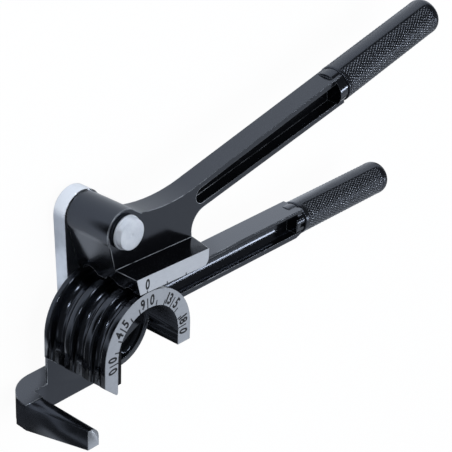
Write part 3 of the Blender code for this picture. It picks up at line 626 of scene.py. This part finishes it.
# How far a sleeve stays within the solid that it replaces, and the upper handle's angle to the lower one
WITHIN = 0.00008
UPPER_ANGLE = math.radians(13.2)


def triangle_wave(phase):
    """Zero at whole phases, one half way between them, with straight flanks."""
    return 1 - np.abs(1 - 2 * (phase % 1))


def sleeve_profile(radius, length, mouth, depth):
    """Places and radii along a sleeve: the mouth's bottom and wall, a straight part, a domed end."""
    straight = np.arange(SLEEVE_EDGE, length - SLEEVE_DOME, KNURL_LENGTH / KNURL_SAMPLES)
    quarter = np.linspace(0, np.pi / 2, DOME_STEPS)[1:]
    crown = radius * SLEEVE_CROWN_SHARE
    dome = length - SLEEVE_DOME * (1 - np.sin(quarter))
    along = np.concatenate([[depth, depth, 0, 0], straight, dome, [length]])
    reach = crown + (radius - crown) * np.cos(quarter)
    start = [0, mouth, mouth, radius - SLEEVE_EDGE]
    return along, np.concatenate([start, np.full(len(straight), radius), reach, [0]])


def knurled_sleeve(node, body, direction, begin, mouth, knurl_start):
    """A sleeve in place of a grip. It begins a length before the CAD node, over the beam's round collar.

    Its radius is the profile's less depth * (1 - grooves), where grooves is the lesser of two triangle
    waves, of the share of a turn plus and minus the run along the sleeve, both counted in pyramids. The
    knurl starts a given length from the sleeve's mouth. What stands above the grooves is kept as an
    attribute: one on the tips of the pyramids, and zero in the grooves and on the smooth bands."""
    co = np.array([vertex.co for vertex in nodes[node].data.vertices])
    axis = np.array(direction)
    side = np.array((-axis[1], axis[0], 0))
    reach, across, up = co @ axis, co @ side, co[:, 2]
    radius = (up.max() - up.min()) / 2 - WITHIN
    length = reach.max() - reach.min() + begin - WITHIN
    origin = (reach.min() - begin) * axis + (across.max() + across.min()) / 2 * side
    origin[2] = (up.max() + up.min()) / 2
    along, straight = sleeve_profile(radius, length, mouth, begin + SLEEVE_EDGE)
    starts = round(math.tau * radius / KNURL_WIDTH)
    columns = starts * KNURL_SAMPLES
    turn = np.arange(columns) / columns
    run, share = np.meshgrid((along - SLEEVE_EDGE) / KNURL_LENGTH, turn * starts, indexing="ij")
    grooves = np.minimum(triangle_wave(share + run), triangle_wave(share - run))
    fade = np.clip((along - knurl_start) / KNURL_WIDTH, 0, 1)
    fade = fade * np.clip((length - SLEEVE_DOME - KNURL_END - along) / KNURL_WIDTH, 0, 1)
    band = np.clip((math.cos(BAND_HALF_ANGLE) - np.abs(np.cos(math.tau * turn))) / BAND_EDGE, 0, 1)
    depth = KNURL_DEPTH * (1 - grooves) * fade[:, None] * band
    radii = straight[:, None] - depth
    obj = turned(node + "_sleeve", origin, axis, along, radii, knurled, body, node)
    tips = (grooves * fade[:, None] * band)[1:-1].ravel()
    tip_values = obj.data.attributes.new(TIP_ATTRIBUTE, "FLOAT", "POINT")
    tip_values.data.foreach_set("value", np.append(tips, (0, 0)))
    return obj


lower_direction = (1.0, 0, 0)
knurled_sleeve("lower_grip", "former", lower_direction, begin=0.0047, mouth=0.0090, knurl_start=0.0031)
upper_direction = (math.cos(UPPER_ANGLE), math.sin(UPPER_ANGLE), 0)
knurled_sleeve("upper_grip", "lever", upper_direction, begin=0.0079, mouth=0.00985, knurl_start=0.0012)

# %% [markdown]
# ## Numbers and ticks of the scale
# The scale reads 0 to 180 degrees round the former, with a long tick through the middle of each number
# and short ticks every 15 degrees. On such tools they are stamped or printed in black. Here they are thin
# black plates let into the bare metal by a hair. Each digit is a Text object made into a mesh, then set
# with its foot towards the former's axis.

# %% Marks on the former's face
MARK_THICKNESS = 0.00006
# Degrees from the lower handle's direction to the scale's zero
SCALE_ZERO = 182
NUMERAL_HEIGHT = 0.0061
NUMERAL_CENTRE = 0.0251
NUMERAL_WIDTH = 0.76
NUMERAL_BOLD = 0.036
HALF_GAP = math.radians(7.4)
DIGIT_STEP = math.radians(5.6)
DIGIT_SHIFT = math.radians(1)
NUMERAL_CURVE_STEPS = 3
MARK_MERGE = 0.000001
# Ticks start at the former's bore
BORE = 0.0212
LONG_TICK = 0.0058
SHORT_TICK = 0.0029
TICK_WIDTH = 0.0007
TICK_EVERY = 15
NUMBER_EVERY = 45
SCALE_END = 180
# Where each number stands, in degrees from the scale's zero, and its digits before and behind its tick
NUMBERS = ((0, "0", "0"), (44, "4", "5"), (89.2, "9", "0"), (135, "13", "5"), (180, "18", "0"))
INK = (0.003, 0.003, 0.004, 1)
INK_FADED = (0.009, 0.009, 0.011, 1)
INK_SPECK = 0.0004
INK_ROUGHNESS = 0.5
INK_ROUGHNESS_CHANGE = 0.2


def ink():
    """Black enamel with faint specks."""
    finish = Finish("scale_ink")
    speck = finish.noise(INK_SPECK, detail=3)
    colour = finish.mix(speck, INK, INK_FADED)
    return finish.shade(Base_Color=colour, Roughness=INK_ROUGHNESS + INK_ROUGHNESS_CHANGE * speck)


black_ink = ink()


def numeral(digit):
    """A digit's closed mesh, centred on the origin, one unit high."""
    text = bpy.data.curves.new("numeral", "FONT")
    text.body = digit
    text.extrude = MARK_THICKNESS / NUMERAL_HEIGHT / 2
    text.offset = NUMERAL_BOLD
    text.resolution_u = NUMERAL_CURVE_STEPS
    carrier = bpy.data.objects.new("numeral", text)
    mesh = bpy.data.meshes.new_from_object(carrier)
    bpy.data.objects.remove(carrier)
    bpy.data.curves.remove(text)
    co = np.array([vertex.co for vertex in mesh.vertices])
    low, high = co.min(axis=0), co.max(axis=0)
    unit = 1 / (high[1] - low[1])
    mesh.transform(Matrix.Diagonal((unit, unit, 1, 1)) @ Matrix.Translation(-(low + high) / 2))
    return mesh


def tick_mesh():
    """A flat bar one unit long from the origin along Y and one unit wide, as thick as a mark."""
    work = bmesh.new()
    bmesh.ops.create_cube(work, size=1)
    bmesh.ops.translate(work, verts=work.verts, vec=(0, 0.5, 0))
    mesh = bpy.data.meshes.new("tick")
    work.to_mesh(mesh)
    work.free()
    return mesh


def radial(angle, radius):
    """Places a mark with its foot towards the axis: a turn of Y to the radius, then a move outwards."""
    level = FACE - INLAY / 2 - MARK_THICKNESS / 2
    place = Matrix.Translation((radius * math.cos(angle), radius * math.sin(angle), level))
    return place @ Matrix.Rotation(angle - math.pi / 2, 4, "Z")


def marks_object(name, marks, body):
    """Joins placed copies of meshes into one piece and lets it ride on a body."""
    work = bmesh.new()
    for mesh, place in marks:
        copy = mesh.copy()
        copy.transform(place)
        work.from_mesh(copy)
        bpy.data.meshes.remove(copy)
    bmesh.ops.remove_doubles(work, verts=work.verts, dist=MARK_MERGE)
    bmesh.ops.recalc_face_normals(work, faces=work.faces)
    mesh = bpy.data.meshes.new(name)
    work.to_mesh(mesh)
    work.free()
    obj = add_object(name, mesh, black_ink, body)
    print(name, "marks:", len(marks), "faces:", len(mesh.polygons))
    return obj


digit_meshes = {digit: numeral(digit) for digit in "0134589"}
bar = tick_mesh()
numeral_size = Matrix.Diagonal((NUMERAL_HEIGHT * NUMERAL_WIDTH, NUMERAL_HEIGHT, NUMERAL_HEIGHT, 1))


def tick_size(width, length):
    """A tick's size as a matrix."""
    return Matrix.Diagonal((width, length, MARK_THICKNESS, 1))


scale_marks = []
for value, before, behind in NUMBERS:
    middle = math.radians(SCALE_ZERO - value)
    scale_marks.append((bar, radial(middle, BORE) @ tick_size(TICK_WIDTH, LONG_TICK)))
    for place, digit in enumerate(reversed(before)):
        angle = middle + HALF_GAP - DIGIT_SHIFT * (len(before) - 1) + DIGIT_STEP * place
        scale_marks.append((digit_meshes[digit], radial(angle, NUMERAL_CENTRE) @ numeral_size))
    scale_marks.append((digit_meshes[behind], radial(middle - HALF_GAP, NUMERAL_CENTRE) @ numeral_size))
for value in range(TICK_EVERY, SCALE_END, TICK_EVERY):
    if value % NUMBER_EVERY:
        place = radial(math.radians(SCALE_ZERO - value), BORE)
        scale_marks.append((bar, place @ tick_size(TICK_WIDTH, SHORT_TICK)))
marks_object("scale_marks", scale_marks, "former")

# %% [markdown]
# ## Marks of the shoe
# The shoe's bare front edge carries the pointer of the scale: a zero with a short tick below it, and two
# more ticks.

# %% Marks on the shoe
SHOE_TILT = math.radians(-2)
SHOE_LOW = 0.0303
SHOE_NUMERAL_HEIGHT = 0.0060
SHOE_NUMERAL_OUT = 0.0348
SHOE_TICKS = (-0.0026, 0.0113, 0.0249)
SHOE_TICK = 0.0012
SHOE_TICK_WIDTH = 0.0007


def on_shoe(along, out):
    """A place on the shoe's face: along the shoe, and out from the former's axis."""
    level = FACE - INLAY / 2 - MARK_THICKNESS / 2
    return Matrix.Rotation(SHOE_TILT, 4, "Z") @ Matrix.Translation((along, out, level))


shoe_numeral_size = numeral_size * (SHOE_NUMERAL_HEIGHT / NUMERAL_HEIGHT)
shoe_numeral_size[3][3] = 1
shoe_marks = [(digit_meshes["0"], on_shoe(SHOE_TICKS[0], SHOE_NUMERAL_OUT) @ shoe_numeral_size)]
for along in SHOE_TICKS:
    shoe_marks.append((bar, on_shoe(along, SHOE_LOW) @ tick_size(SHOE_TICK_WIDTH, SHOE_TICK)))
marks_object("shoe_marks", shoe_marks, "lever")

# %% [markdown]
# ## Floor and light
# The tool lies on a plain white floor. The camera sees it glow at nearly full strength, which is white,
# with a little plain white under the glow that takes the shadow. Gloss black shows what it reflects and
# little else, so reflections see the floor without its glow, as lit paper, and on it some soft round
# patches: dark ones are painted shade, and bright ones glow though they are no lamp, a painted light. A
# photographer lays black and white cards round a glossy thing for the same reason: they draw its dark and
# light sides.

# %% Floor
FLOOR_SIZE = 6.0
FLOOR_GLOW = 0.96
COOL_WHITE = (0.86, 0.92, 1, 1)
FLOOR_WHITE = (0.92, 0.92, 0.92, 1)
FLOOR_ROUGHNESS = 0.9
# What each patch is for, its middle, the radii where it starts and ends to fade, and its strength:
# a strength below the lit floor's is painted shade, one above it painted light
PATCHES = (
    ("left of the hook", -0.09, -0.05, 0.05, 0.075, 0.07),
    ("far left of the hook", -0.24, -0.14, 0.1, 0.16, 0.12),
    ("under the scale's arch", 0.012, -0.062, 0.038, 0.055, 0.0),
    ("left of the head", -0.10, 0.075, 0.040, 0.055, 0.0),
    ("below the head", -0.022, 0.022, 0.008, 0.016, 1.1),
    ("beside the hook", -0.032, -0.022, 0.010, 0.020, 1.1),
    ("beside the lower beam", 0.15, 0.02, 0.04, 0.075, 1.5),
    ("beside the upper grip", 0.325, 0.015, 0.05, 0.075, 0.1),
)


def make_floor():
    """A large plane under the tool, white to the camera; reflections see painted light and shade on it."""
    mesh = bpy.data.meshes.new("floor")
    half = FLOOR_SIZE / 2
    corners = [(-half, -half, 0), (half, -half, 0), (half, half, 0), (-half, half, 0)]
    mesh.from_pydata(corners, [], [(0, 1, 2, 3)])
    floor = bpy.data.objects.new("floor", mesh)
    bpy.context.scene.collection.objects.link(floor)
    finish = Finish("floor_white")
    finish.shade(Base_Color=FLOOR_WHITE, Roughness=FLOOR_ROUGHNESS)
    path = finish.node("LightPath")
    glossy = path["Is Glossy Ray"]
    seen = path["Is Camera Ray"].larger(path["Is Transmission Ray"])
    glow = finish.node("Emission", values={"Color": (1, 1, 1, 1), "Strength": 1})["Emission"]
    plain = Signal(finish, finish.shader.outputs["BSDF"])
    both = finish.node("MixShader", values={0: seen * FLOOR_GLOW, 1: plain, 2: glow})["Shader"]
    last = both
    for label, x, y, inner, outer, strength in PATCHES:
        values = {"Vector": finish.place, "Location": (-x, -y, 0)}
        centred = finish.node("Mapping", {"label": label}, values)
        distance = finish.node("VectorMath", {"operation": "LENGTH"}, {0: centred["Vector"]})["Value"]
        patch = (1 - distance.step(inner, outer)) * glossy
        values = {"Color": COOL_WHITE, "Strength": strength}
        painted_patch_glow = finish.node("Emission", values=values)["Emission"]
        last = finish.node("MixShader", values={0: patch, 1: last, 2: painted_patch_glow})["Shader"]
    finish.tree.links.new(last.socket, finish.tree.nodes["Material Output"].inputs["Surface"])
    mesh.materials.append(finish.material)
    return floor


floor = make_floor()
print("floor size:", FLOOR_SIZE)

# %% [markdown]
# ## Lamps
# One broad lamp overhead gives the floor its even white and its soft shadow, and is kept out of
# reflections. The others are there for the gloss. A small bright one draws the streaks in the grooves and
# a tiny one their glints. A broad dim card in front is what the faces turned to the viewer mirror, a
# dimmer one on the left lights the lands between the grooves, and a small dim lamp before the hook picks
# out edges. Two small lamps over the handles make the tips of the knurl sparkle, and give no diffuse
# light.

# %% Lamps and world
TARGET = Vector((0.05, 0.03, 0.03))
LAMP_DISTANCE = 1.2
FILL_DISTANCE = 1.5
AMBIENT = 0.1


def softbox(name, direction, side, radiance, distance=LAMP_DISTANCE, glossy=True, diffuse=True):
    """A square area lamp in a direction from the tool, facing it, as bright as a radiance says."""
    data = bpy.data.lights.new(name, "AREA")
    data.shape = "RECTANGLE"
    data.size = side
    data.size_y = side
    data.energy = radiance * math.pi * side * side
    data.color = COOL_WHITE[:3]
    lamp = bpy.data.objects.new(name, data)
    heading = Vector(direction).normalized()
    lamp.location = TARGET + heading * distance
    lamp.rotation_euler = heading.to_track_quat("Z", "Y").to_euler()
    lamp.visible_camera = False
    lamp.visible_glossy = glossy
    lamp.visible_diffuse = diffuse
    bpy.context.scene.collection.objects.link(lamp)
    return lamp


softbox("fill_lamp", (0.1, 0.2, 1.0), side=1.5, radiance=3.6, distance=FILL_DISTANCE, glossy=False)
softbox("streak_lamp", (-0.10, 0.74, 0.65), side=0.2, radiance=14)
softbox("glint_lamp", (-0.75, 0.55, 0.35), side=0.09, radiance=45)
softbox("front_card", (0.5, -0.6, 0.65), side=1.4, radiance=0.5)
softbox("edge_lamp", (-0.575, -0.46, 0.675), side=0.25, radiance=0.5)
softbox("upper_sparkle", (0.30, 0.45, 0.84), side=0.12, radiance=40, diffuse=False)
softbox("lower_sparkle", (0.75, -0.10, 0.65), side=0.12, radiance=20, diffuse=False)
softbox("left_card", (-0.88, 0.45, 0.18), side=0.4, radiance=0.3, diffuse=False)


def make_world():
    """Dim, even, slightly cool light from all round."""
    world = bpy.data.worlds.new("studio")
    bpy.context.scene.world = world
    world.use_nodes = True
    background = world.node_tree.nodes["Background"]
    background.inputs["Color"].default_value = COOL_WHITE
    background.inputs["Strength"].default_value = AMBIENT


make_world()
bpy.context.scene.view_settings.view_transform = "Standard"
print("lamps:", [light.name for light in bpy.data.lights])
